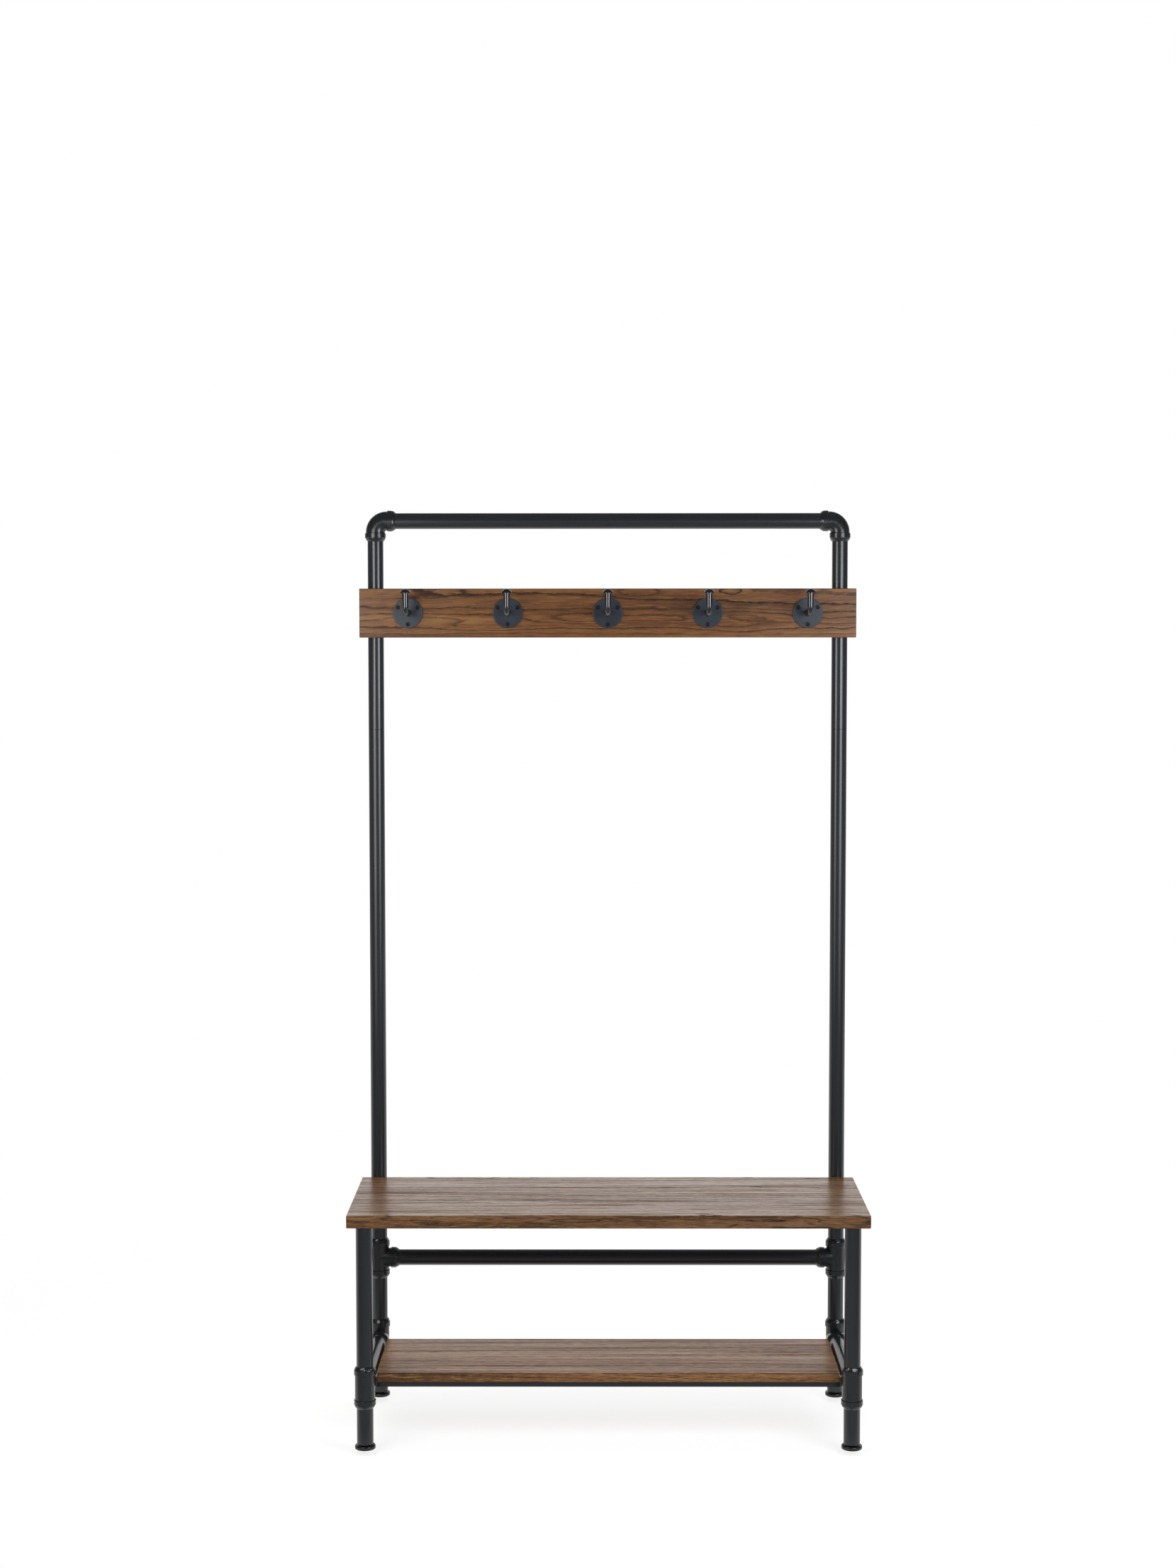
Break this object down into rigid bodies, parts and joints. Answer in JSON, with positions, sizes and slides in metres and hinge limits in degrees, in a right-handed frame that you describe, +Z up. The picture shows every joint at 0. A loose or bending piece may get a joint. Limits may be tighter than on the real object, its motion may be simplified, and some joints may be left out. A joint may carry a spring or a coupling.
{
  "type": "hall tree with hooks",
  "caption": "Pipe-frame hall tree: wooden bench with a shoe shelf below, tall rear uprights, a top rail and a wooden board of capped coat hooks.",
  "frame": {"origin": "on the floor, under the middle of the leg frame", "axes": "+X to the right as seen from the front, +Y towards the back (the uprights), +Z up"},
  "size_m": [1, 0.369, 1.81],
  "materials": {
    "bench_wood": "stained open-grain wood, satin lacquer",
    "board_wood": "stained open-grain wood, satin lacquer",
    "pipe_coat": "satin black powder coat",
    "cast_fitting": "satin black powder coat over rough cast iron",
    "hook_metal": "smooth semi-gloss black powder coat",
    "black_fastener": "black oxide screws and bolts",
    "foot_plastic": "matt black moulded nylon"
  },
  "bodies": {
    "frame": {"seat_board": "bench_wood", "shelf_board": "bench_wood", "hook_board": "board_wood", "top_rail": "pipe_coat", "rear_rail": "pipe_coat", "upright_sleeves": "pipe_coat", "front_shelf_bar": "pipe_coat", "rear_shelf_bar": "pipe_coat", "shelf_screws": "black_fastener", "seat_tabs": "pipe_coat", "seat_tab_screws": "black_fastener", "leg_top_plugs": "pipe_coat", "seat_hanger_bolts": "black_fastener", "board_bolts": "black_fastener", "board_inserts": "black_fastener", "hook_screws": "black_fastener", "foot_plugs": "foot_plastic", "left_top_elbow": "cast_fitting", "left_upper_upright": "pipe_coat", "left_lower_upright": "pipe_coat", "left_rear_tee": "cast_fitting", "left_rear_leg": "pipe_coat", "left_rear_shelf_tee": "cast_fitting", "left_rear_leg_end": "pipe_coat", "left_front_leg": "pipe_coat", "left_front_shelf_tee": "cast_fitting", "left_front_leg_end": "pipe_coat", "left_side_rail": "pipe_coat", "right_top_elbow": "cast_fitting", "right_upper_upright": "pipe_coat", "right_lower_upright": "pipe_coat", "right_rear_tee": "cast_fitting", "right_rear_leg": "pipe_coat", "right_rear_shelf_tee": "cast_fitting", "right_rear_leg_end": "pipe_coat", "right_front_leg": "pipe_coat", "right_front_shelf_tee": "cast_fitting", "right_front_leg_end": "pipe_coat", "right_side_rail": "pipe_coat", "hook_plate_1": "hook_metal", "hook_arm_1": "hook_metal", "hook_cap_1": "hook_metal", "hook_plate_2": "hook_metal", "hook_arm_2": "hook_metal", "hook_cap_2": "hook_metal", "hook_plate_3": "hook_metal", "hook_arm_3": "hook_metal", "hook_cap_3": "hook_metal", "hook_plate_4": "hook_metal", "hook_arm_4": "hook_metal", "hook_cap_4": "hook_metal", "hook_plate_5": "hook_metal", "hook_arm_5": "hook_metal", "hook_cap_5": "hook_metal"},
    "left_front_foot": {"left_front_foot": "foot_plastic"},
    "right_front_foot": {"right_front_foot": "foot_plastic"},
    "left_rear_foot": {"left_rear_foot": "foot_plastic"},
    "right_rear_foot": {"right_rear_foot": "foot_plastic"}
  },
  "joints": [
    {"name": "left_front_foot_height", "type": "slide", "parent": "frame", "child": "left_front_foot", "axis": [0, 0, -1], "range_m": [0, 0.01]},
    {"name": "right_front_foot_height", "type": "slide", "parent": "frame", "child": "right_front_foot", "axis": [0, 0, -1], "range_m": [0, 0.01]},
    {"name": "left_rear_foot_height", "type": "slide", "parent": "frame", "child": "left_rear_foot", "axis": [0, 0, -1], "range_m": [0, 0.01]},
    {"name": "right_rear_foot_height", "type": "slide", "parent": "frame", "child": "right_rear_foot", "axis": [0, 0, -1], "range_m": [0, 0.01]}
  ]
}
